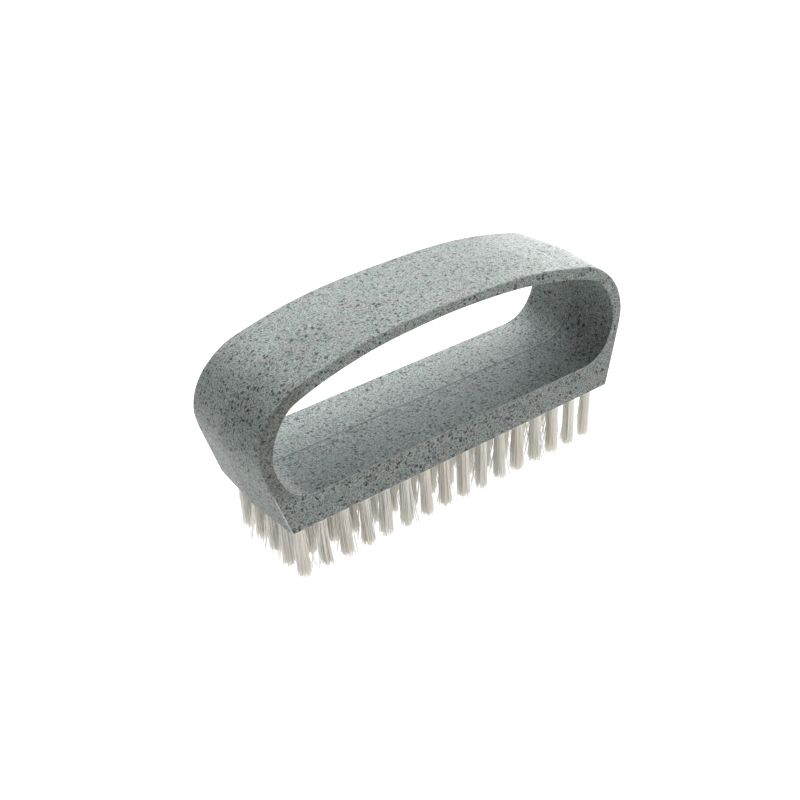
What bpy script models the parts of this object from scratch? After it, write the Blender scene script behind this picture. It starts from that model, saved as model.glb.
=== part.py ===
"""Nail brush: a one-piece bow-handle moulding, staple-set with 16 x 5 bristle tufts.

Run:  blender --background --python part.py

Frame: origin at the middle of the plane of the bristle tips, +X along the
length, -Y the front side, +Z up through the handle.  Metres.
"""
import math

import bmesh
import bpy
from mathutils import Matrix, Vector

# ---------------------------------------------------------------- dimensions
MM = 0.001

BRISTLE_OUT = 13.4          # free length of the tufts below the block
BLOCK_LENGTH = 80.0         # length of the block's underside
END_LEAN = (3.8, 12.8)      # the end flats lean out by this much over this height
SIDE_HALF = 13.1            # half width at the underside
SIDE_TAPER = 0.0528         # half width lost per mm of height, each side
DRAFT_OUT = 0.8             # crown of the outside at the middle plane
DRAFT_IN = 0.4              # crown of the inside at the middle plane
EDGE_BREAK = 0.35           # width of the broken edges

# half outline of the bow, from the crown of the handle down to the end flat
HANDLE_TOP = 33.2
BOW_OUTER = ((0.0, HANDLE_TOP), (12.0, 32.95), (22.0, 31.95), (30.0, 30.3),
             (36.5, 28.4), (41.0, 25.1), (43.5, 21.2), (44.4, 16.8),
             (43.8, 12.8))
# half outline of the finger opening, from its roof down to its floor
FLOOR = 6.7
BOW_INNER = ((0.0, 31.3), (11.0, 30.9), (19.0, 30.1), (26.5, 28.7),
             (33.0, 26.95), (37.5, 25.0), (40.3, 21.4), (41.75, 17.0),
             (41.2, 12.8), (39.25, 9.2), (36.3, 7.2), (33.5, FLOOR))
TURN_STEP = math.radians(8.0)   # an outline point at least every 8 degrees
LENGTH_STEP = 9.0               # and at least every 9 mm

COLUMNS, ROWS = 16, 5
PITCH_X, PITCH_Y = 4.95, 5.0
TUFT_ROOT_R = 1.2           # bundle radius where it leaves its hole
TUFT_TIP_R = 1.42           # the bundle spreads towards its tips
TUFT_SIDES = 8
HOLE_DEPTH = 4.9
HOLE_CLEAR = 0.15           # hole radius over bundle radius
BEND_GAP = 0.2              # from the bend to the end of the hole
BEND_BREAK = 0.45           # rounding of the bend

ANCHOR_THICK = 0.3          # flat wire, across the fold
ANCHOR_HIGH = 1.4           # flat wire, along the hole
ANCHOR_LONG = 3.0           # bites past the hole on both sides
ANCHOR_Z = 2.2              # lower edge, above the underside
ANCHOR_CLEAR = 0.13
WEB_HIGH = 0.45             # strip that joins the anchors of a row

LINK_HALF = 0.35            # bar that joins the bends of a group of tufts
LINK_Z = (4.05, 4.5)
LINK_CLEAR = 0.13

COLLECTION = "nail_brush"


# ---------------------------------------------------------------- helpers
def start_clean():
    for ob in list(bpy.data.objects):
        bpy.data.objects.remove(ob, do_unlink=True)
    part = bpy.data.collections.new(COLLECTION)
    cut = bpy.data.collections.new("cutters")
    bpy.context.scene.collection.children.link(part)
    bpy.context.scene.collection.children.link(cut)
    return part, cut


def material(name, colour, roughness, metallic):
    mat = bpy.data.materials.new(name)
    mat.use_nodes = True
    bsdf = next(n for n in mat.node_tree.nodes if n.type == 'BSDF_PRINCIPLED')
    bsdf.inputs["Base Color"].default_value = (*colour, 1.0)
    bsdf.inputs["Roughness"].default_value = roughness
    bsdf.inputs["Metallic"].default_value = metallic
    mat.diffuse_color = (*colour, 1.0)
    return mat


def add_object(name, mesh, collection, mat=None):
    ob = bpy.data.objects.new(name, mesh)
    collection.objects.link(ob)
    if mat is not None and not mesh.materials:
        mesh.materials.append(mat)
    return ob


def make_cutter(name, mesh, collection):
    ob = add_object(name, mesh, collection)
    ob.hide_render = True
    ob.display_type = 'WIRE'
    return ob


def mesh_from(bm, name):
    mesh = bpy.data.meshes.new(name)
    bmesh.ops.recalc_face_normals(bm, faces=bm.faces)
    bm.to_mesh(mesh)
    bm.free()
    return mesh


def boolean(ob, cutter, operation='DIFFERENCE'):
    mod = ob.modifiers.new(cutter.name, 'BOOLEAN')
    mod.operation = operation
    mod.solver = 'EXACT'
    mod.object = cutter
    return mod


def add_box(bm, low, high):
    """A box between two corners, in mm."""
    size = [(b - a) * MM for a, b in zip(low, high)]
    mid = [(a + b) / 2 * MM for a, b in zip(low, high)]
    place = Matrix.Translation(mid) @ Matrix.Diagonal((*size, 1.0))
    bmesh.ops.create_cube(bm, size=1.0, matrix=place)


def evaluated_mesh(ob, name):
    """The object's mesh as its modifiers leave it."""
    bpy.context.view_layer.update()
    deps = bpy.context.evaluated_depsgraph_get()
    mesh = bpy.data.meshes.new_from_object(ob.evaluated_get(deps), depsgraph=deps)
    mesh.name = name
    return mesh


def shade(mesh, degrees=40.0):
    mesh.shade_smooth()
    mesh.set_sharp_from_angle(angle=math.radians(degrees))


# ---------------------------------------------------------------- outlines
def through(stations, first, last, per_span=24):
    """Centripetal Catmull-Rom curve through stations; first and last are the
    neighbours beyond its two ends."""
    pts = [Vector(p) for p in (first, *stations, last)]
    out = []
    for a, b, c, d in zip(pts, pts[1:], pts[2:], pts[3:]):
        t0 = 0.0
        t1 = t0 + (b - a).length ** 0.5
        t2 = t1 + (c - b).length ** 0.5
        t3 = t2 + (d - c).length ** 0.5
        for i in range(per_span):
            t = t1 + (t2 - t1) * i / per_span
            a1 = a.lerp(b, (t - t0) / (t1 - t0))
            a2 = b.lerp(c, (t - t1) / (t2 - t1))
            a3 = c.lerp(d, (t - t2) / (t3 - t2))
            b1 = a1.lerp(a2, (t - t0) / (t2 - t0))
            b2 = a2.lerp(a3, (t - t1) / (t3 - t1))
            out.append(b1.lerp(b2, (t - t1) / (t2 - t1)))
    out.append(pts[-2].copy())
    return out


def thinned(pts):
    """Keep a point at every TURN_STEP of turning and every LENGTH_STEP."""
    keep = [pts[0]]
    turned = travelled = 0.0
    for a, b, c in zip(pts, pts[1:], pts[2:]):
        turned += (b - a).angle(c - b, 0.0)
        travelled += (b - a).length
        if turned >= TURN_STEP or travelled >= LENGTH_STEP:
            keep.append(b)
            turned = travelled = 0.0
    if (keep[-1] - pts[-1]).length < 1.0 and len(keep) > 1:
        keep.pop()
    keep.append(pts[-1])
    return keep


def mirrored(half):
    """Close a half outline that runs from x = 0 on its top to its bottom."""
    left = [Vector((-p.x, p.y)) for p in reversed(half) if p.x > 1e-6]
    return half + left


def outer_outline():
    corner = (BLOCK_LENGTH / 2, 0.0)
    crown_neighbour = (-BOW_OUTER[1][0], BOW_OUTER[1][1])
    flat_neighbour = (BOW_OUTER[-1][0] - END_LEAN[0] / 2,
                      BOW_OUTER[-1][1] - END_LEAN[1] / 2)
    half = thinned(through(BOW_OUTER, crown_neighbour, flat_neighbour))
    return mirrored(half + [Vector(corner)])


def inner_outline():
    roof_neighbour = (-BOW_INNER[1][0], BOW_INNER[1][1])
    floor_neighbour = (BOW_INNER[-1][0] - 8.0, FLOOR)
    half = thinned(through(BOW_INNER, roof_neighbour, floor_neighbour))
    return mirrored(half)


def outline_normals(pts):
    """Unit normals of a closed clockwise outline, pointing away from it."""
    out = []
    for i, p in enumerate(pts):
        before = (p - pts[i - 1]).normalized()
        after = (pts[(i + 1) % len(pts)] - p).normalized()
        mean = (before + after).normalized()
        out.append(Vector((-mean.y, mean.x)))
    return out


# ---------------------------------------------------------------- body
def body_blank(collection):
    """Both outlines as one filled 2D curve, extruded across the brush, then
    drafted from the parting plane to both sides."""
    outer, inner = outer_outline(), inner_outline()
    curve = bpy.data.curves.new("bow", 'CURVE')
    curve.dimensions = '2D'
    curve.fill_mode = 'BOTH'
    curve.extrude = SIDE_HALF * MM
    for pts in (outer, inner):
        spline = curve.splines.new('POLY')
        spline.points.add(len(pts) - 1)
        for point, p in zip(spline.points, pts):
            point.co = (p.x * MM, p.y * MM, 0.0, 1.0)
        spline.use_cyclic_u = True
    flat = bpy.data.objects.new("bow", curve)
    collection.objects.link(flat)
    mesh = evaluated_mesh(flat, "body")
    bpy.data.objects.remove(flat, do_unlink=True)

    bm = bmesh.new()
    bm.from_mesh(mesh)
    bpy.data.meshes.remove(mesh)
    bmesh.ops.remove_doubles(bm, verts=bm.verts, dist=1e-6)
    # stand the outline up: its height becomes Z, its extrusion becomes Y
    bmesh.ops.transform(bm, matrix=Matrix.Rotation(math.radians(90), 4, 'X'),
                        verts=bm.verts)
    bmesh.ops.bisect_plane(bm, geom=bm.verts[:] + bm.edges[:] + bm.faces[:],
                           plane_co=(0, 0, 0), plane_no=(0, 1, 0), dist=1e-7)

    crown = []
    for pts, out in ((outer, DRAFT_OUT), (inner, -DRAFT_IN)):
        for p, n in zip(pts, outline_normals(pts)):
            if p.y < 1e-6:          # the underside stays flat
                n = Vector((math.copysign(1.0, p.x), 0.0))
            crown.append((p, n * out))
    for v in bm.verts:
        x, z = v.co.x / MM, v.co.z / MM
        if abs(v.co.y) < 1e-6:
            p, move = min(crown, key=lambda c: (c[0].x - x) ** 2 + (c[0].y - z) ** 2)
            v.co.x += move.x * MM
            v.co.z += move.y * MM
        else:
            side = math.copysign(1.0, v.co.y)
            v.co.y = side * (SIDE_HALF - SIDE_TAPER * z) * MM
    bmesh.ops.translate(bm, vec=(0, 0, BRISTLE_OUT * MM), verts=bm.verts)
    return mesh_from(bm, "body")


def tuft_places():
    for row in range(ROWS):
        for col in range(COLUMNS):
            yield (row, col, (col - (COLUMNS - 1) / 2) * PITCH_X,
                   (row - (ROWS - 1) / 2) * PITCH_Y)


def hole_cutter(collection):
    bm = bmesh.new()
    low, high = BRISTLE_OUT - 2.0, BRISTLE_OUT + HOLE_DEPTH
    r = (TUFT_ROOT_R + HOLE_CLEAR) * MM
    for _, _, x, y in tuft_places():
        place = (Matrix.Translation((x * MM, y * MM, (low + high) / 2 * MM))
                 @ Matrix.Rotation(math.pi / TUFT_SIDES, 4, 'Z'))
        bmesh.ops.create_cone(bm, cap_ends=True, segments=TUFT_SIDES, radius1=r,
                              radius2=r, depth=(high - low) * MM, matrix=place)
    return make_cutter("cut_tuft_holes", mesh_from(bm, "cut_tuft_holes"), collection)


def anchor_slot_cutter(collection):
    bm = bmesh.new()
    end = (COLUMNS - 1) / 2 * PITCH_X + ANCHOR_LONG / 2 + ANCHOR_CLEAR
    half = ANCHOR_THICK / 2 + ANCHOR_CLEAR
    for row in range(ROWS):
        y = (row - (ROWS - 1) / 2) * PITCH_Y
        add_box(bm, (-end, y - half, BRISTLE_OUT + ANCHOR_Z - ANCHOR_CLEAR),
                (end, y + half, BRISTLE_OUT + ANCHOR_Z + ANCHOR_HIGH + ANCHOR_CLEAR))
    return make_cutter("cut_anchor_slots", mesh_from(bm, "cut_anchor_slots"), collection)


def link_channel_cutter(collection):
    bm = bmesh.new()
    half = LINK_HALF + LINK_CLEAR
    for col in range(1, COLUMNS - 1):
        x = (col - (COLUMNS - 1) / 2) * PITCH_X
        add_box(bm, (x - half, -PITCH_Y, BRISTLE_OUT + LINK_Z[0] - LINK_CLEAR),
                (x + half, PITCH_Y, BRISTLE_OUT + LINK_Z[1] + LINK_CLEAR))
    return make_cutter("cut_link_channels", mesh_from(bm, "cut_link_channels"), collection)


def make_body(part, cut, mat):
    body = add_object("body", body_blank(cut), part, mat)
    bevel = body.modifiers.new("edge_break", 'BEVEL')
    bevel.width = EDGE_BREAK * MM
    bevel.segments = 1
    bevel.limit_method = 'ANGLE'
    bevel.angle_limit = math.radians(35)
    bevel.harden_normals = False
    for cutter in (hole_cutter(cut), anchor_slot_cutter(cut), link_channel_cutter(cut)):
        boolean(body, cutter)
    shade(body.data, 30.0)
    return body


# ---------------------------------------------------------------- tufts
def tuft_mesh(cut):
    """A folded bundle: free end at the tips, bend at the bottom of the hole,
    and the eye of the fold that its anchor sits in."""
    top = BRISTLE_OUT + HOLE_DEPTH - BEND_GAP
    profile = ((TUFT_ROOT_R - BEND_BREAK, top), (TUFT_ROOT_R, top - BEND_BREAK),
               (TUFT_ROOT_R, BRISTLE_OUT), (TUFT_TIP_R, 0.0))
    bm = bmesh.new()
    turn = math.pi / TUFT_SIDES
    rings = []
    for r, z in profile:
        ring = bmesh.ops.create_circle(bm, cap_ends=False, segments=TUFT_SIDES,
                                       radius=r * MM,
                                       matrix=Matrix.Translation((0, 0, z * MM))
                                       @ Matrix.Rotation(turn, 4, 'Z'))
        rings.append(ring["verts"])
    for upper, lower in zip(rings, rings[1:]):
        edges = [e for e in bm.edges
                 if all(v in upper for v in e.verts) or all(v in lower for v in e.verts)]
        bmesh.ops.bridge_loops(bm, edges=edges)
    for ring in (rings[0], rings[-1]):
        bmesh.ops.contextual_create(bm, geom=ring)
    blank = add_object("tuft_blank", mesh_from(bm, "tuft_blank"), cut)

    bm = bmesh.new()
    half = ANCHOR_THICK / 2 + ANCHOR_CLEAR
    add_box(bm, (-3.0, -half, BRISTLE_OUT + ANCHOR_Z - ANCHOR_CLEAR),
            (3.0, half, BRISTLE_OUT + ANCHOR_Z + ANCHOR_HIGH + ANCHOR_CLEAR))
    eye = make_cutter("cut_tuft_eye", mesh_from(bm, "cut_tuft_eye"), cut)
    boolean(blank, eye)
    mesh = evaluated_mesh(blank, "tuft")
    bpy.data.objects.remove(blank, do_unlink=True)
    return mesh


def tuft_group_mesh(tuft, cut):
    """Three tufts of one column, joined at their bends by a thin bar."""
    bm = bmesh.new()
    add_box(bm, (-LINK_HALF, -PITCH_Y, BRISTLE_OUT + LINK_Z[0]),
            (LINK_HALF, PITCH_Y, BRISTLE_OUT + LINK_Z[1]))
    bar = add_object("link_bar", mesh_from(bm, "link_bar"), cut)
    bm = bmesh.new()
    for y in (-PITCH_Y, 0.0, PITCH_Y):
        before = set(bm.verts)
        bm.from_mesh(tuft)
        fresh = [v for v in bm.verts if v not in before]
        bmesh.ops.translate(bm, vec=(0, y * MM, 0), verts=fresh)
    three = make_cutter("join_three_tufts", mesh_from(bm, "join_three_tufts"), cut)
    boolean(bar, three, 'UNION')
    mesh = evaluated_mesh(bar, "tuft_group")
    bpy.data.objects.remove(bar, do_unlink=True)
    return mesh


def make_tufts(part, cut, mat):
    single = tuft_mesh(cut)
    group = tuft_group_mesh(single, cut)
    for mesh in (single, group):
        shade(mesh, 50.0)
        mesh.materials.clear()
        mesh.materials.append(mat)
    for row, col, x, y in tuft_places():
        edge = row in (0, ROWS - 1) or col in (0, COLUMNS - 1)
        if edge:
            ob = add_object(f"tuft_r{row + 1}_c{col + 1:02d}", single, part)
            ob.location = (x * MM, y * MM, 0.0)
        elif row == ROWS // 2:
            ob = add_object(f"tufts_inner_c{col + 1:02d}", group, part)
            ob.location = (x * MM, 0.0, 0.0)


# ---------------------------------------------------------------- anchors
def anchor_row_mesh(cut):
    """Sixteen flat-wire anchors of one row, standing on edge in the folds,
    joined along their upper edges by a thin web."""
    low, high = ANCHOR_Z, ANCHOR_Z + ANCHOR_HIGH
    outline = []
    for col in range(COLUMNS):
        x = (col - (COLUMNS - 1) / 2) * PITCH_X
        left, right = x - ANCHOR_LONG / 2, x + ANCHOR_LONG / 2
        if col:
            outline.append((left, high - WEB_HIGH))
        outline += [(left, low), (right, low)]
        if col < COLUMNS - 1:
            outline.append((right, high - WEB_HIGH))
    outline += [(outline[-1][0], high), (outline[0][0], high)]

    curve = bpy.data.curves.new("anchor_row", 'CURVE')
    curve.dimensions = '2D'
    curve.fill_mode = 'BOTH'
    curve.extrude = ANCHOR_THICK / 2 * MM
    spline = curve.splines.new('POLY')
    spline.points.add(len(outline) - 1)
    for point, (x, z) in zip(spline.points, outline):
        point.co = (x * MM, z * MM, 0.0, 1.0)
    spline.use_cyclic_u = True
    flat = bpy.data.objects.new("anchor_row", curve)
    cut.objects.link(flat)
    mesh = evaluated_mesh(flat, "anchor_row")
    bpy.data.objects.remove(flat, do_unlink=True)

    bm = bmesh.new()
    bm.from_mesh(mesh)
    bpy.data.meshes.remove(mesh)
    bmesh.ops.remove_doubles(bm, verts=bm.verts, dist=1e-6)
    bmesh.ops.transform(bm, matrix=Matrix.Translation((0, 0, BRISTLE_OUT * MM))
                        @ Matrix.Rotation(math.radians(90), 4, 'X'), verts=bm.verts)
    return mesh_from(bm, "anchor_row")


def make_anchors(part, cut, mat):
    mesh = anchor_row_mesh(cut)
    mesh.materials.append(mat)
    for row in range(ROWS):
        ob = add_object(f"anchors_r{row + 1}", mesh, part)
        ob.location = (0.0, (row - (ROWS - 1) / 2) * PITCH_Y * MM, 0.0)


# ---------------------------------------------------------------- build
def main():
    part, cut = start_clean()
    plastic = material("speckled_plastic", (0.215, 0.245, 0.245), 0.55, 0.0)
    nylon = material("nylon_bristle", (0.62, 0.61, 0.55), 0.45, 0.0)
    wire = material("anchor_wire", (0.60, 0.56, 0.47), 0.35, 1.0)
    make_body(part, cut, plastic)
    make_tufts(part, cut, nylon)
    make_anchors(part, cut, wire)


main()
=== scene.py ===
"""Looks of the nail brush: speckled bow-handle moulding and nylon tufts."""
import math

import bmesh
import bpy
import numpy as np
from mathutils import Matrix, Vector


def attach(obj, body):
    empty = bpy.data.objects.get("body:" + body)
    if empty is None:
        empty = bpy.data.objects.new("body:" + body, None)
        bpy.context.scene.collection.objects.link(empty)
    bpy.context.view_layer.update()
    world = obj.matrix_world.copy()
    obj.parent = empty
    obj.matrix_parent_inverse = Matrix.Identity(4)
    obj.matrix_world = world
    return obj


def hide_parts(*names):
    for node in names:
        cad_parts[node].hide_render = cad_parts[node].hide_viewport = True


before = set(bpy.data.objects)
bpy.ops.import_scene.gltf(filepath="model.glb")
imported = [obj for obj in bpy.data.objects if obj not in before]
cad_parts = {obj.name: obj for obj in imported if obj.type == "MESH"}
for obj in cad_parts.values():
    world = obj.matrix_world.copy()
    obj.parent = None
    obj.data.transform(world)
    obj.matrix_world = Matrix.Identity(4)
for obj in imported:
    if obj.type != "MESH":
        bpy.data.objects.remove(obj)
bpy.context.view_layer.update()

MM = 0.001
scene = bpy.context.scene
scene.view_settings.view_transform = 'Standard'
scene.view_settings.look = 'None'
scene.view_settings.exposure = 0.0
scene.view_settings.gamma = 1.0

# ------------------------------------------------------------------ camera
RIGHT = Vector((0.797081, -0.602562, -0.03977))
DOWN = Vector((-0.348836, -0.405687, -0.844826))
AHEAD = Vector((0.492926, 0.687268, -0.533561))
EYE = Vector((-0.119272, -0.158817, 0.145258))
cam_data = bpy.data.cameras.new("camera")
cam_data.sensor_width = 36.0
cam_data.lens = 36.0 * 1154.28 / 800.0
cam_data.clip_start = 0.01
cam_data.clip_end = 20.0
camera = bpy.data.objects.new("camera", cam_data)
scene.collection.objects.link(camera)
turn = Matrix((RIGHT, -DOWN, -AHEAD)).transposed()
camera.matrix_world = Matrix.Translation(EYE) @ turn.to_4x4()
scene.camera = camera

# ------------------------------------------------------------------ design numbers, mm
BRISTLE_OUT = 13.4
HALF_LENGTH = 40.0
SIDE_HALF, SIDE_TAPER = 13.1, 0.0528
DRAFT_OUT, DRAFT_IN = 0.8, 0.4
EDGE_R, RIM_R = 0.42, 0.20         # outside edges, opening's edges
SHOULDER_R = 0.18                   # added to the outside edges round the shoulders
BOW_OUTER = ((0.0, 33.2), (12.0, 32.95), (22.0, 31.95), (30.0, 30.3), (36.5, 28.4),
             (41.0, 25.1), (43.5, 21.2), (44.4, 16.8), (43.8, 12.8))
BOW_INNER = ((0.0, 31.3), (11.0, 30.9), (19.0, 30.1), (26.5, 28.7), (33.0, 26.95),
             (37.5, 25.0), (40.3, 21.4), (41.75, 17.0), (41.2, 12.8), (39.25, 9.2),
             (36.3, 7.2), (33.5, 6.7))
FLOOR = 6.7
COLUMNS, ROWS, PITCH_X, PITCH_Y = 16, 5, 4.95, 5.0
HOLE_R, HOLE_DEPTH = 1.28, 4.9
ANCHOR = (3.0, 0.3, 1.4)            # length, thickness, height
ANCHOR_Z = 2.2


# ------------------------------------------------------------------ node helpers
class Nodes:
    """Short calls for building a node tree."""

    def __init__(self, mat):
        mat.use_nodes = True
        self.tree = mat.node_tree
        self.tree.nodes.clear()
        self.out = self.add('ShaderNodeOutputMaterial')

    def add(self, kind, **props):
        node = self.tree.nodes.new(kind)
        for key, value in props.items():
            setattr(node, key, value)
        return node

    def link(self, a, b):
        self.tree.links.new(a, b)

    def put(self, socket, value):
        if hasattr(value, "links") or isinstance(value, bpy.types.NodeSocket):
            self.link(value, socket)
        else:
            socket.default_value = value

    def math(self, op, a, b=0.0, c=0.0, clamp=False):
        node = self.add('ShaderNodeMath', operation=op, use_clamp=clamp)
        for socket, value in zip(node.inputs, (a, b, c)):
            self.put(socket, value)
        return node.outputs[0]

    def vmath(self, op, a, b=(0.0, 0.0, 0.0)):
        node = self.add('ShaderNodeVectorMath', operation=op)
        self.put(node.inputs[0], a)
        self.put(node.inputs[1], b)
        return node.outputs[0]

    def step(self, value, low, high, to_low=0.0, to_high=1.0):
        node = self.add('ShaderNodeMapRange', interpolation_type='SMOOTHSTEP')
        for socket, v in zip(node.inputs, (value, low, high, to_low, to_high)):
            self.put(socket, v)
        return node.outputs[0]

    def noise(self, vector, scale, detail=2.0, rough=0.5):
        node = self.add('ShaderNodeTexNoise')
        self.put(node.inputs['Vector'], vector)
        node.inputs['Scale'].default_value = scale
        node.inputs['Detail'].default_value = detail
        node.inputs['Roughness'].default_value = rough
        return node.outputs

    def cells(self, vector, scale):
        node = self.add('ShaderNodeTexVoronoi', feature='F1')
        self.put(node.inputs['Vector'], vector)
        node.inputs['Scale'].default_value = scale
        return node.outputs

    def mix(self, factor, a, b, mode='MIX'):
        node = self.add('ShaderNodeMix', data_type='RGBA', blend_type=mode)
        self.put(node.inputs[0], factor)
        self.put(node.inputs[6], a)
        self.put(node.inputs[7], b)
        return node.outputs[2]

    def millimetres(self):
        coord = self.add('ShaderNodeTexCoord')
        return self.vmath('MULTIPLY', coord.outputs['Object'], (1000.0,) * 3), coord.outputs['Normal']


# ------------------------------------------------------------------ materials
def speckled_plastic():
    mat = bpy.data.materials.new("speckled_plastic_look")
    n = Nodes(mat)
    here, normal = n.millimetres()

    # flow of the melt bends the flecks a little and draws them out along X
    swirl = n.vmath('MULTIPLY', n.vmath('SUBTRACT', n.noise(here, 0.22, 2.0)['Color'], (0.5,) * 3),
                    (2.4, 2.4, 2.4))
    bent = n.vmath('ADD', here, swirl)
    drawn = n.vmath('MULTIPLY', bent, (0.84, 1.0, 1.0))
    ragged = n.vmath('ADD', drawn, n.vmath('MULTIPLY', n.vmath(
        'SUBTRACT', n.noise(here, 3.6, 2.0)['Color'], (0.5,) * 3), (0.40, 0.40, 0.40)))

    def flecks(scale, low, high, keep, soft):
        cell = n.cells(ragged, scale)
        pick = n.add('ShaderNodeSeparateColor')
        n.link(cell['Color'], pick.inputs[0])
        radius = n.step(pick.outputs[0], 0.0, 1.0, low, high)
        inside = n.step(n.math('SUBTRACT', cell['Distance'], radius), -soft, soft, 1.0, 0.0)
        kept = n.math('LESS_THAN', pick.outputs[1], keep)
        depth = n.step(pick.outputs[2], 0.0, 1.0, 0.70, 1.0)
        return n.math('MULTIPLY', n.math('MULTIPLY', inside, kept), depth)

    large = flecks(1.30, 0.17, 0.40, 0.62, 0.03)
    small = flecks(2.3, 0.22, 0.46, 0.54, 0.05)

    # melt colour: pale grey-green with greener, bluer and warmer clouds
    cloud = n.noise(bent, 0.28, 3.0, 0.6)['Fac']
    warm = n.noise(n.vmath('ADD', bent, (37.0, 11.0, 5.0)), 0.36, 3.0, 0.6)['Fac']
    base = n.mix(n.step(cloud, 0.36, 0.64), (0.175, 0.212, 0.190, 1), (0.190, 0.215, 0.212, 1))
    base = n.mix(n.step(warm, 0.46, 0.68, 0.0, 0.75), base, (0.219, 0.191, 0.196, 1))
    # fine pale and dark grain of the filler
    grain = n.noise(here, 3.4, 1.5, 0.6)['Fac']
    base = n.mix(n.step(grain, 0.34, 0.50, 0.90, 0.0), base, (0.062, 0.076, 0.074, 1))
    base = n.mix(n.step(grain, 0.50, 0.66, 0.0, 0.90), base, (0.312, 0.330, 0.318, 1))
    base = n.mix(n.math('MULTIPLY', small, 0.92), base, (0.036, 0.047, 0.047, 1))
    base = n.mix(n.math('MULTIPLY', large, 0.95), base, (0.012, 0.018, 0.019, 1))

    # edges painted paler and made smoother: partly wear, partly a painted highlight along the rounded
    # edges
    split = n.add('ShaderNodeSeparateXYZ')
    n.link(normal, split.inputs[0])
    across = n.math('ABSOLUTE', split.outputs[1])
    edge = n.math('MULTIPLY', n.step(across, 0.16, 0.45), n.step(across, 0.80, 0.97, 1.0, 0.0))
    edge_wear_and_highlight = n.math('MULTIPLY', edge, n.step(n.noise(here, 0.9, 3.0, 0.7)['Fac'], 0.25, 0.55))
    place = n.add('ShaderNodeSeparateXYZ')
    n.link(here, place.inputs[0])
    # the painted edge highlight is strong on the block's edges and weak higher up
    edge_wear_and_highlight = n.math('MULTIPLY', edge_wear_and_highlight, n.step(place.outputs[2], BRISTLE_OUT + 7.4, BRISTLE_OUT + 11.0,
                                         1.0, 0.25))
    # pale edge colour: wear plus a painted highlight
    base = n.mix(n.math('MULTIPLY', edge_wear_and_highlight, 0.92), base, (0.540, 0.550, 0.540, 1))
    # a darker, broken line along the parting line of the floor and the ends
    parting = n.math('MULTIPLY', n.step(n.math('ABSOLUTE', place.outputs[1]), 0.05, 0.16, 1.0, 0.0),
                     n.step(place.outputs[2], BRISTLE_OUT + 9.0, BRISTLE_OUT + 12.0, 1.0, 0.0))
    parting = n.math('MULTIPLY', parting, n.step(n.noise(here, 0.5, 3.0, 0.6)['Fac'], 0.25, 0.50,
                                                 0.30, 0.75))
    base = n.mix(parting, base, (0.050, 0.064, 0.062, 1))

    # painted shade: a dark olive band on the rim round the left shoulder, standing in for the shade
    # on the rounded edge there
    painted_shoulder_shade = n.math('MULTIPLY', n.step(across, 0.30, 0.70),
                   n.step(place.outputs[0], -37.0, -30.0, 0.42, 0.0))
    painted_shoulder_shade = n.math('MULTIPLY', painted_shoulder_shade, n.step(place.outputs[2], BRISTLE_OUT + 6.0,
                                             BRISTLE_OUT + 11.0))
    base = n.mix(painted_shoulder_shade, base, (0.040, 0.040, 0.028, 1))

    skin = n.noise(here, 2.2, 4.0, 0.6)['Fac']
    rough = n.step(skin, 0.3, 0.7, 0.44, 0.60)
    rough = n.math('ADD', rough, n.math('MULTIPLY', large, 0.10))
    rough = n.math('SUBTRACT', rough, n.math('MULTIPLY', edge_wear_and_highlight, 0.10))

    pits = n.noise(here, 5.5, 3.0, 0.6)['Fac']
    height = n.math('ADD', n.math('MULTIPLY', skin, 0.010 * MM),
                    n.math('MULTIPLY', pits, 0.006 * MM))
    height = n.math('SUBTRACT', height, n.math('MULTIPLY', large, 0.004 * MM))
    bump = n.add('ShaderNodeBump')
    bump.inputs['Strength'].default_value = 0.85
    bump.inputs['Distance'].default_value = 1.0
    n.link(height, bump.inputs['Height'])

    bsdf = n.add('ShaderNodeBsdfPrincipled')
    n.link(base, bsdf.inputs['Base Color'])
    n.link(rough, bsdf.inputs['Roughness'])
    n.link(bump.outputs[0], bsdf.inputs['Normal'])
    bsdf.inputs['IOR'].default_value = 1.50
    bsdf.inputs['Specular IOR Level'].default_value = 0.20
    n.link(bsdf.outputs[0], n.out.inputs[0])
    return mat


def nylon():
    mat = bpy.data.materials.new("nylon_bristle_look")
    n = Nodes(mat)
    here, _ = n.millimetres()
    # streaks run down the filaments; each bundle and each filament differs a little
    along = n.vmath('MULTIPLY', here, (1.0, 1.0, 0.06))
    streak = n.noise(along, 4.2, 2.0, 0.6)['Fac']
    bundle = n.noise(n.vmath('MULTIPLY', here, (1.0, 1.0, 0.02)), 0.24, 1.0)['Fac']
    base = n.mix(n.step(bundle, 0.35, 0.65), (0.984, 0.970, 0.940, 1), (0.990, 0.985, 0.966, 1))
    base = n.mix(n.step(streak, 0.30, 0.52, 0.55, 0.0), base, (0.920, 0.900, 0.855, 1))
    base = n.mix(n.step(streak, 0.56, 0.75, 0.0, 0.55), base, (0.99, 0.988, 0.975, 1))
    bsdf = n.add('ShaderNodeBsdfPrincipled')
    n.link(base, bsdf.inputs['Base Color'])
    n.link(n.step(streak, 0.3, 0.7, 0.22, 0.38), bsdf.inputs['Roughness'])
    fine = n.add('ShaderNodeBump')
    fine.inputs['Strength'].default_value = 0.35
    fine.inputs['Distance'].default_value = 1.0
    n.link(n.math('MULTIPLY', n.noise(n.vmath('MULTIPLY', here, (1.0, 1.0, 0.25)), 9.0, 2.0)['Fac'],
                  0.004 * MM), fine.inputs['Height'])
    n.link(fine.outputs[0], bsdf.inputs['Normal'])
    bsdf.inputs['IOR'].default_value = 1.53
    through = n.add('ShaderNodeBsdfTranslucent')
    n.link(base, through.inputs['Color'])
    both = n.add('ShaderNodeMixShader')
    both.inputs[0].default_value = 0.72
    n.link(bsdf.outputs[0], both.inputs[1])
    n.link(through.outputs[0], both.inputs[2])
    n.link(both.outputs[0], n.out.inputs[0])
    return mat


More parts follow.
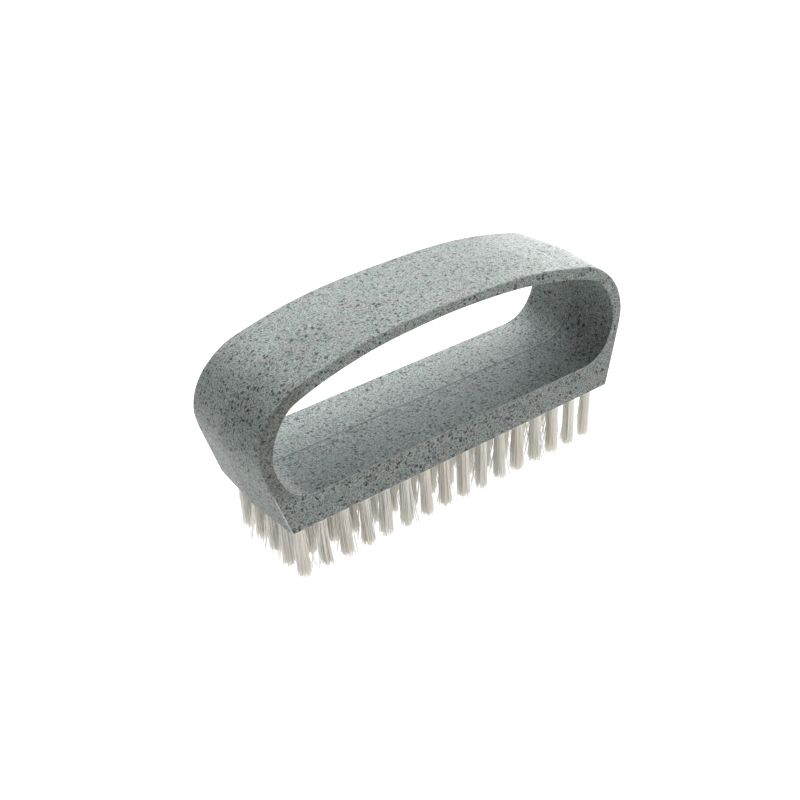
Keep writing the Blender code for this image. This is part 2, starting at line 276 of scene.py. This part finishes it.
def flat_wire():
    mat = bpy.data.materials.new("anchor_wire_look")
    n = Nodes(mat)
    here, _ = n.millimetres()
    drawn = n.noise(n.vmath('MULTIPLY', here, (0.4, 8.0, 8.0)), 1.6, 3.0)['Fac']
    base = n.mix(n.step(drawn, 0.3, 0.7), (0.60, 0.52, 0.34, 1), (0.76, 0.68, 0.48, 1))
    bsdf = n.add('ShaderNodeBsdfPrincipled')
    n.link(base, bsdf.inputs['Base Color'])
    n.link(n.step(drawn, 0.3, 0.7, 0.24, 0.42), bsdf.inputs['Roughness'])
    bsdf.inputs['Metallic'].default_value = 1.0
    n.link(bsdf.outputs[0], n.out.inputs[0])
    return mat


PLASTIC, NYLON, WIRE = speckled_plastic(), nylon(), flat_wire()


# ------------------------------------------------------------------ geometry helpers
def through(stations, first, last, per_span=40):
    """Centripetal Catmull-Rom curve through stations, as an array of points."""
    pts = np.array([first, *stations, last], float)
    out = []
    for a, b, c, d in zip(pts, pts[1:], pts[2:], pts[3:]):
        t0 = 0.0
        t1 = t0 + np.linalg.norm(b - a) ** 0.5
        t2 = t1 + np.linalg.norm(c - b) ** 0.5
        t3 = t2 + np.linalg.norm(d - c) ** 0.5
        for t in np.linspace(t1, t2, per_span, endpoint=False):
            a1 = a + (b - a) * (t - t0) / (t1 - t0)
            a2 = b + (c - b) * (t - t1) / (t2 - t1)
            a3 = c + (d - c) * (t - t2) / (t3 - t2)
            b1 = a1 + (a2 - a1) * (t - t0) / (t2 - t0)
            b2 = a2 + (a3 - a2) * (t - t1) / (t3 - t1)
            out.append(b1 + (b2 - b1) * (t - t1) / (t2 - t1))
    out.append(pts[-2])
    return np.array(out)


def resample(pts, count):
    """count + 1 points at equal steps along a polyline."""
    step = np.r_[0.0, np.cumsum(np.linalg.norm(np.diff(pts, axis=0), axis=1))]
    want = np.linspace(0.0, step[-1], count + 1)
    return np.c_[np.interp(want, step, pts[:, 0]), np.interp(want, step, pts[:, 1])]


def smoothstep(x, low, high):
    t = np.clip((x - low) / (high - low), 0.0, 1.0)
    return t * t * (3 - 2 * t)


def close_mirror(half):
    """Right half outline, crown to bottom centre, closed by its mirror image."""
    left = half[1:-1][::-1] * (-1.0, 1.0)
    return np.vstack([half, left])


def closed_normals(loop):
    ahead = np.roll(loop, -1, axis=0) - np.roll(loop, 1, axis=0)
    ahead /= np.linalg.norm(ahead, axis=1)[:, None]
    return np.c_[-ahead[:, 1], ahead[:, 0]]


def new_object(name, verts, faces, mat, smooth=True, sharp=None):
    mesh = bpy.data.meshes.new(name)
    mesh.from_pydata([tuple(v) for v in verts], [], [tuple(f) for f in faces])
    mesh.validate()
    mesh.materials.append(mat)
    if smooth:
        mesh.shade_smooth()
    if sharp is not None:
        mesh.set_sharp_from_angle(angle=math.radians(sharp))
    ob = bpy.data.objects.new(name, mesh)
    scene.collection.objects.link(ob)
    return ob


# ------------------------------------------------------------------ body
# counts of steps between the key points that both outlines share
STEPS = (34, 40, 30, 44)      # crown > shoulder > widest > lower corner > bottom centre


def cut_at(pts, test):
    return int(np.argmin(test(pts)))


def outer_half():
    lean = (BOW_OUTER[-1][0] - 0.6, BOW_OUTER[-1][1] - 5.0)
    curve = through(BOW_OUTER, (-BOW_OUTER[1][0], BOW_OUTER[1][1]), lean)
    a = cut_at(curve, lambda p: abs(p[:, 0] - 33.5))
    b = cut_at(curve, lambda p: -p[:, 0])
    # end flat down to the rounded lower corner
    foot = np.array((HALF_LENGTH, 0.0))
    up = np.array(BOW_OUTER[-1]) - foot
    up /= np.linalg.norm(up)
    r = EDGE_R
    opening = math.acos(np.dot(up, (-1.0, 0.0)))          # angle between end flat and underside
    back = r / math.tan(opening / 2)
    centre_dir = up + np.array((-1.0, 0.0))
    centre_dir /= np.linalg.norm(centre_dir)
    centre = foot + centre_dir * r / math.sin(opening / 2)
    start = foot + up * back - centre
    a0 = math.atan2(start[1], start[0])
    arc = [centre + r * np.array((math.cos(t), math.sin(t)))
           for t in np.linspace(a0, -math.pi / 2, 8)]
    side = np.vstack([curve[b:], arc])
    return [resample(curve[:a + 1], STEPS[0]), resample(curve[a:b + 1], STEPS[1]),
            np.vstack([resample(side[:-7], STEPS[2] - 7), side[-7:]]),
            resample(np.array((arc[-1], (0.0, 0.0))), STEPS[3])]


def inner_half():
    curve = through(BOW_INNER, (-BOW_INNER[1][0], BOW_INNER[1][1]), (BOW_INNER[-1][0] - 8.0, FLOOR))
    a = cut_at(curve, lambda p: abs(p[:, 0] - 31.0) + 50.0 * (p[:, 1] < 17))
    b = cut_at(curve, lambda p: -p[:, 0])
    c = cut_at(curve, lambda p: abs(p[:, 0] - 37.4) + 50.0 * (p[:, 1] > 15))
    low = np.vstack([curve[c:], (0.0, FLOOR)])
    return [resample(curve[:a + 1], STEPS[0]), resample(curve[a:b + 1], STEPS[1]),
            resample(curve[b:c + 1], STEPS[2]), resample(low, STEPS[3])]


def joined(parts):
    return np.vstack([parts[0]] + [p[1:] for p in parts[1:]])


def ring(loop, normals, crown, y, out):
    """The outline's points at one y, moved out along the outline's normal.
    y and out are numbers, or one number for each point."""
    y, out = y + np.zeros(len(loop)), out + np.zeros(len(loop))
    half = SIDE_HALF - SIDE_TAPER * np.clip(loop[:, 1], 0, None)
    share = np.clip(1.0 - abs(y) / SIDE_HALF, 0.0, 1.0)
    at = loop + normals * out[:, None] + crown * share[:, None]
    return np.c_[at[:, 0], y / SIDE_HALF * half, at[:, 1]]


def band_rings(loop, crown, sign, middle):
    """Rings from the front face round the rounded edge, over the draft's crown
    and round to the back face. sign is +1 outside and -1 in the opening."""
    normals = closed_normals(loop) * sign
    r = np.full(len(loop), EDGE_R if sign > 0 else RIM_R)
    if sign > 0:
        shoulder = (smoothstep(abs(loop[:, 0]), 35.0, 40.5) * smoothstep(loop[:, 1], 5.0, 12.0))
        r = r + SHOULDER_R * shoulder
    arc = np.linspace(90.0, 0.0, 7)
    ys, outs = [], []
    for deg in arc:
        t = math.radians(deg)
        ys.append(-(SIDE_HALF - r + r * math.sin(t)))
        outs.append(-r * (1 - math.cos(t)))
    inner_y = [-(SIDE_HALF - r) * (1 - k) - 0.5 * k for k in np.linspace(0.0, 1.0, 12)[1:]]
    ys += inner_y
    outs += [0.0] * len(inner_y)
    for y, out in middle:
        ys.append(y)
        outs.append(out)
    ys += [-y for y in reversed(ys[:-len(middle)])]
    outs += list(reversed(outs[:-len(middle)]))
    return [ring(loop, normals, crown, y, out) for y, out in zip(ys, outs)]


def body_mesh():
    outer = close_mirror(joined(outer_half()))
    inner = close_mirror(joined(inner_half()))
    count = len(outer)
    assert count == len(inner), (count, len(inner))

    nrm = closed_normals(outer)
    lean = 1.0 / math.sqrt(1 + (3.8 / 12.8) ** 2)
    along = nrm * DRAFT_OUT
    sideways = np.c_[np.sign(outer[:, 0]) * DRAFT_OUT / lean, np.zeros(count)]
    share = (1.0 - smoothstep(outer[:, 1], 9.5, 12.8))[:, None]
    crown_out = along * (1 - share) + sideways * share
    under = outer[:, 1] < 0.02
    crown_out[under] = np.c_[outer[under, 0] / HALF_LENGTH * DRAFT_OUT / lean,
                             np.zeros(under.sum())]
    crown_in = closed_normals(inner) * -DRAFT_IN

    seam = [(-0.16, 0.0), (-0.07, 0.035), (0.0, 0.05), (0.07, 0.035), (0.16, 0.0)]
    ends = share[:, 0] * ~under
    plain = [(y, out * ends) for y, out in seam]
    out_rings = band_rings(outer, crown_out, 1.0, plain)
    in_rings = band_rings(inner, crown_in, -1.0, seam)

    # front and back faces: from the outside's first ring to the opening's first
    face_steps = 8
    front = [out_rings[0] + (in_rings[0] - out_rings[0]) * k / face_steps
             for k in range(1, face_steps)]
    back = [out_rings[-1] + (in_rings[-1] - out_rings[-1]) * k / face_steps
            for k in range(1, face_steps)]
    loops = out_rings[::-1] + front + in_rings + back[::-1]
    verts = np.vstack(loops)
    verts[:, 2] += BRISTLE_OUT
    faces = []
    total = len(loops)
    for i in range(total):
        j = (i + 1) % total
        for k in range(count):
            m = (k + 1) % count
            faces.append((i * count + k, i * count + m, j * count + m, j * count + k))
    return verts * MM, faces


def tuft_places():
    for row in range(ROWS):
        for col in range(COLUMNS):
            yield (row, col, (col - (COLUMNS - 1) / 2) * PITCH_X,
                   (row - (ROWS - 1) / 2) * PITCH_Y)


def hole_cutter():
    """Drilled blind holes: countersunk mouth, straight wall, drill-point end."""
    sides = 24
    profile = ((HOLE_R + 0.22, -1.0), (HOLE_R + 0.22, -0.02), (HOLE_R + 0.03, 0.14),
               (HOLE_R, 0.30), (HOLE_R, HOLE_DEPTH - 0.45), (0.12, HOLE_DEPTH))
    ang = np.arange(sides) * 2 * math.pi / sides
    verts, faces = [], []
    for _, _, x, y in tuft_places():
        start = len(verts)
        for r, z in profile:
            verts += [(x + r * c, y + r * s, BRISTLE_OUT + z)
                      for c, s in zip(np.cos(ang), np.sin(ang))]
        for i in range(len(profile) - 1):
            for k in range(sides):
                m = (k + 1) % sides
                a = start + i * sides
                faces.append((a + k, a + m, a + sides + m, a + sides + k))
        faces.append(tuple(start + k for k in reversed(range(sides))))
        top = start + (len(profile) - 1) * sides
        faces.append(tuple(top + k for k in range(sides)))
    return np.array(verts) * MM, faces


def outward(ob):
    bm = bmesh.new()
    bm.from_mesh(ob.data)
    bmesh.ops.recalc_face_normals(bm, faces=bm.faces)
    volume = bm.calc_volume(signed=True)
    if volume < 0:
        bmesh.ops.reverse_faces(bm, faces=bm.faces)
    bm.to_mesh(ob.data)
    bm.free()


def make_body():
    ob = new_object("body_moulding", *body_mesh(), PLASTIC)
    outward(ob)
    cutter = new_object("hole_cutter", *hole_cutter(), PLASTIC)
    outward(cutter)
    mod = ob.modifiers.new("holes", 'BOOLEAN')
    mod.operation = 'DIFFERENCE'
    mod.solver = 'EXACT'
    mod.object = cutter
    bpy.context.view_layer.update()
    deps = bpy.context.evaluated_depsgraph_get()
    mesh = bpy.data.meshes.new_from_object(ob.evaluated_get(deps), depsgraph=deps)
    ob.modifiers.clear()
    old = ob.data
    ob.data = mesh
    mesh.name = "body_moulding"
    bpy.data.meshes.remove(old)
    bpy.data.objects.remove(cutter, do_unlink=True)
    mesh.shade_smooth()
    mesh.set_sharp_from_angle(angle=math.radians(28))
    fix = ob.modifiers.new("flat_shading", 'WEIGHTED_NORMAL')
    fix.keep_sharp = True
    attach(ob, "root")
    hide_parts("body")
    return ob


# ------------------------------------------------------------------ tufts
FIL_R = 0.104
FIL_SIDES = 6


def tube(path, radius, sides, caps=True):
    """A round tube along an (n, 3) path, with parallel-transported rings."""
    n = len(path)
    tan = np.gradient(path, axis=0)
    tan /= np.linalg.norm(tan, axis=1)[:, None]
    up = np.array((1.0, 0.0, 0.0))
    verts = []
    for p, t in zip(path, tan):
        up = up - t * np.dot(up, t)
        up /= np.linalg.norm(up)
        side = np.cross(t, up)
        ang = np.arange(sides) * 2 * math.pi / sides
        verts.append(p + radius * (np.outer(np.cos(ang), up) + np.outer(np.sin(ang), side)))
    faces = []
    for i in range(n - 1):
        for k in range(sides):
            m = (k + 1) % sides
            faces.append((i * sides + k, i * sides + m, (i + 1) * sides + m, (i + 1) * sides + k))
    if caps:
        faces.append(tuple(reversed(range(sides))))
        faces.append(tuple((n - 1) * sides + k for k in range(sides)))
    return np.vstack(verts), faces


def leg(root, rng, lean, stray):
    """Free run of one filament from the hole's mouth to its cut tip, top down."""
    x, y = root
    r = math.hypot(x, y)
    spread = 0.14 + 0.22 * rng.random()
    side = rng.normal(0.0, 0.10, 2)
    end = np.array((x, y)) * (1 + spread) + lean + side
    tip = float(np.clip(0.72 + rng.normal(0.0, 0.30), 0.03, 1.8))
    if stray:
        away = np.array((x, y)) / max(r, 1e-3)
        end = np.array((x, y)) + away * rng.uniform(0.7, 1.9) + rng.normal(0.0, 0.25, 2)
        tip = rng.uniform(0.2, 1.6)
    bow = rng.normal(0.0, 0.09, 2)
    pts = []
    for t in (0.0, 0.22, 0.45, 0.68, 0.86, 1.0):
        z = BRISTLE_OUT + (tip - BRISTLE_OUT) * t
        xy = np.array((x, y)) + (end - (x, y)) * t ** 1.6 + bow * math.sin(math.pi * t)
        pts.append((xy[0], xy[1], z))
    return pts


def tuft_mesh(x0, y0, seed):
    """About sixty filament ends: thirty folded filaments over one anchor."""
    rng = np.random.default_rng(seed)
    folds = 34
    golden = math.pi * (3 - math.sqrt(5))
    turn = rng.uniform(0, 2 * math.pi)
    disc = []
    for i in range(2 * folds):
        r = 1.05 * math.sqrt((i + 0.5) / (2 * folds))
        a = i * golden + turn
        disc.append((r * math.cos(a) + rng.normal(0, 0.02), r * math.sin(a) + rng.normal(0, 0.02)))
    disc.sort(key=lambda p: p[1])
    near, far = disc[:folds], disc[folds:]
    near.sort(key=lambda p: p[0])
    far.sort(key=lambda p: p[0])
    lean = rng.normal(0.0, 0.10, 2) + (0.14 - (0.0125 if y0 < -9 else 0.004) * x0, -0.08)
    top = BRISTLE_OUT + ANCHOR_Z + ANCHOR[2]
    verts, faces = [], []
    base = 0
    for i, (p, q) in enumerate(zip(near, far)):
        run = []
        strays = [rng.random() < 0.07, rng.random() < 0.07]
        heights = []
        for (x, y), stray, sign in ((p, strays[0], -1.0), (q, strays[1], 1.0)):
            gap = 0.28 + 0.80 * min(abs(y), 1.1) / 1.1
            xa = x * min(1.0, math.sqrt(max(1.18 ** 2 - gap ** 2, 0.02)) / max(abs(x), 1e-3))
            down = leg((x, y), rng, lean, stray)
            up = [(x, y, BRISTLE_OUT + 1.2), (xa, sign * gap, BRISTLE_OUT + 2.3),
                  (xa, sign * gap, top - 0.25)]
            heights.append((xa, gap))
            run.append((down[::-1], up))
        (x1, g1), (x2, g2) = heights
        bend = []
        for t in (0.25, 0.5, 0.75):
            a = math.pi * t
            g = g1 + (g2 - g1) * t
            bend.append((x1 + (x2 - x1) * t, -g * math.cos(a), top - 0.12 + 0.86 * g * math.sin(a)))
        path = run[0][0] + run[0][1] + bend + run[1][1][::-1] + run[1][0][::-1]
        v, f = tube(np.array(path), FIL_R, FIL_SIDES)
        verts.append(v)
        faces += [tuple(k + base for k in face) for face in f]
        base += len(v)
    verts = np.vstack(verts) + (x0, y0, 0.0)
    low = verts[:, 2].min()
    verts[:, 2] += max(0.0, 0.002 - low)
    return verts * MM, faces


def make_tufts():
    groups = {}
    for row, col, x, y in tuft_places():
        edge = row in (0, ROWS - 1) or col in (0, COLUMNS - 1)
        name = f"tuft_r{row + 1}_c{col + 1:02d}" if edge else f"tufts_inner_c{col + 1:02d}"
        groups.setdefault(name, []).append((x, y, 1000 + row * COLUMNS + col))
    for name, places in groups.items():
        verts, faces, base = [], [], 0
        for x, y, seed in places:
            v, f = tuft_mesh(x, y, seed)
            verts.append(v)
            faces += [tuple(k + base for k in face) for face in f]
            base += len(v)
        ob = new_object(name + "_filaments", np.vstack(verts), faces, NYLON, sharp=50)
        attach(ob, "root")
        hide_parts(name)


# ------------------------------------------------------------------ anchors
def make_anchors():
    """Separate pieces of flat wire with sheared ends and slightly rounded edges."""
    length, thick, high = ANCHOR
    for row in range(ROWS):
        bm = bmesh.new()
        y = (row - (ROWS - 1) / 2) * PITCH_Y
        for col in range(COLUMNS):
            x = (col - (COLUMNS - 1) / 2) * PITCH_X
            tilt = 1.5 * math.sin(7.0 * col + 3.0 * row)
            place = (Matrix.Translation(Vector((x, y, BRISTLE_OUT + ANCHOR_Z + high / 2)) * MM)
                     @ Matrix.Rotation(math.radians(tilt), 4, 'Z')
                     @ Matrix.Diagonal((length * MM, thick * MM, high * MM, 1.0)))
            made = bmesh.ops.create_cube(bm, size=1.0, matrix=place)
            edges = {e for v in made["verts"] for e in v.link_edges}
            bmesh.ops.bevel(bm, geom=list(edges), offset=0.06 * MM, segments=2,
                            affect='EDGES', profile=0.5)
        mesh = bpy.data.meshes.new(f"anchors_r{row + 1}_wires")
        bm.to_mesh(mesh)
        bm.free()
        mesh.materials.append(WIRE)
        mesh.shade_smooth()
        mesh.set_sharp_from_angle(angle=math.radians(35))
        ob = bpy.data.objects.new(mesh.name, mesh)
        scene.collection.objects.link(ob)
        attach(ob, "root")
        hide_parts(f"anchors_r{row + 1}")


make_body()
make_tufts()
make_anchors()


# ------------------------------------------------------------------ floor and light
def make_floor():
    mesh = bpy.data.meshes.new("floor")
    s = 30.0
    mesh.from_pydata([(-s, -s, 0), (s, -s, 0), (s, s, 0), (-s, s, 0)], [], [(0, 1, 2, 3)])
    mat = bpy.data.materials.new("floor_white")
    n = Nodes(mat)
    bsdf = n.add('ShaderNodeBsdfPrincipled')
    bsdf.inputs['Base Color'].default_value = (0.40, 0.40, 0.40, 1)
    bsdf.inputs['Roughness'].default_value = 0.9
    bsdf.inputs['Specular IOR Level'].default_value = 0.1
    bsdf.inputs['Emission Color'].default_value = (1.0, 1.0, 1.0, 1)
    bsdf.inputs['Emission Strength'].default_value = 0.94
    n.link(bsdf.outputs[0], n.out.inputs[0])
    mesh.materials.append(mat)
    ob = bpy.data.objects.new("floor", mesh)
    scene.collection.objects.link(ob)


def make_backdrop():
    """A pale shell far round the scene, seen behind the floor from low angles.
    It is only a backdrop, so it adds no light of its own."""
    bm = bmesh.new()
    bmesh.ops.create_uvsphere(bm, u_segments=48, v_segments=24, radius=3.0)
    mesh = bpy.data.meshes.new("backdrop")
    bm.to_mesh(mesh)
    bm.free()
    mat = bpy.data.materials.new("backdrop_white")
    n = Nodes(mat)
    glow = n.add('ShaderNodeEmission')
    glow.inputs['Strength'].default_value = 1.1
    n.link(glow.outputs[0], n.out.inputs[0])
    mesh.materials.append(mat)
    ob = bpy.data.objects.new("backdrop", mesh)
    scene.collection.objects.link(ob)
    ob.visible_diffuse = ob.visible_glossy = ob.visible_transmission = False
    ob.visible_shadow = ob.visible_volume_scatter = False


def area_light(name, place, aim, size, power, colour=(1.0, 1.0, 1.0)):
    data = bpy.data.lights.new(name, 'AREA')
    data.shape = 'SQUARE'
    data.size = size
    data.energy = power
    data.color = colour
    ob = bpy.data.objects.new(name, data)
    ob.location = place
    ob.rotation_euler = (Vector(aim) - Vector(place)).to_track_quat('-Z', 'Y').to_euler()
    scene.collection.objects.link(ob)
    return ob


def make_world(strength):
    world = bpy.data.worlds.new("studio")
    scene.world = world
    world.use_nodes = True
    back = next(n for n in world.node_tree.nodes if n.type == 'BACKGROUND')
    back.inputs[0].default_value = (1.0, 1.0, 1.0, 1.0)
    back.inputs[1].default_value = strength


make_floor()
make_backdrop()
make_world(0.02)
for name, turn, rise, power, colour in (
        ("high_right", 30, 60, 9.9, (1.0, 1.0, 0.965)),
        ("high_back_left", 135, 60, 1.9, (1.0, 1.0, 0.965)),
        ("back_right", 60, 35, 4.8, (0.95, 1.0, 1.03)),
        ("back", 90, 35, 5.1, (0.95, 1.0, 1.03)),
        ("back_left", 135, 35, 1.3, (1.0, 1.0, 1.0)),
        ("low_right", 30, 10, 6.4, (1.0, 1.0, 1.0)),
        ("low_front_right", 300, 10, 5.2, (1.0, 0.985, 0.96))):
    t, r = math.radians(turn), math.radians(rise)
    area_light(name, (math.cos(t) * math.cos(r), math.sin(t) * math.cos(r),
                      math.sin(r) + 0.02), (0.0, 0.0, 0.02), 0.5, power, colour)
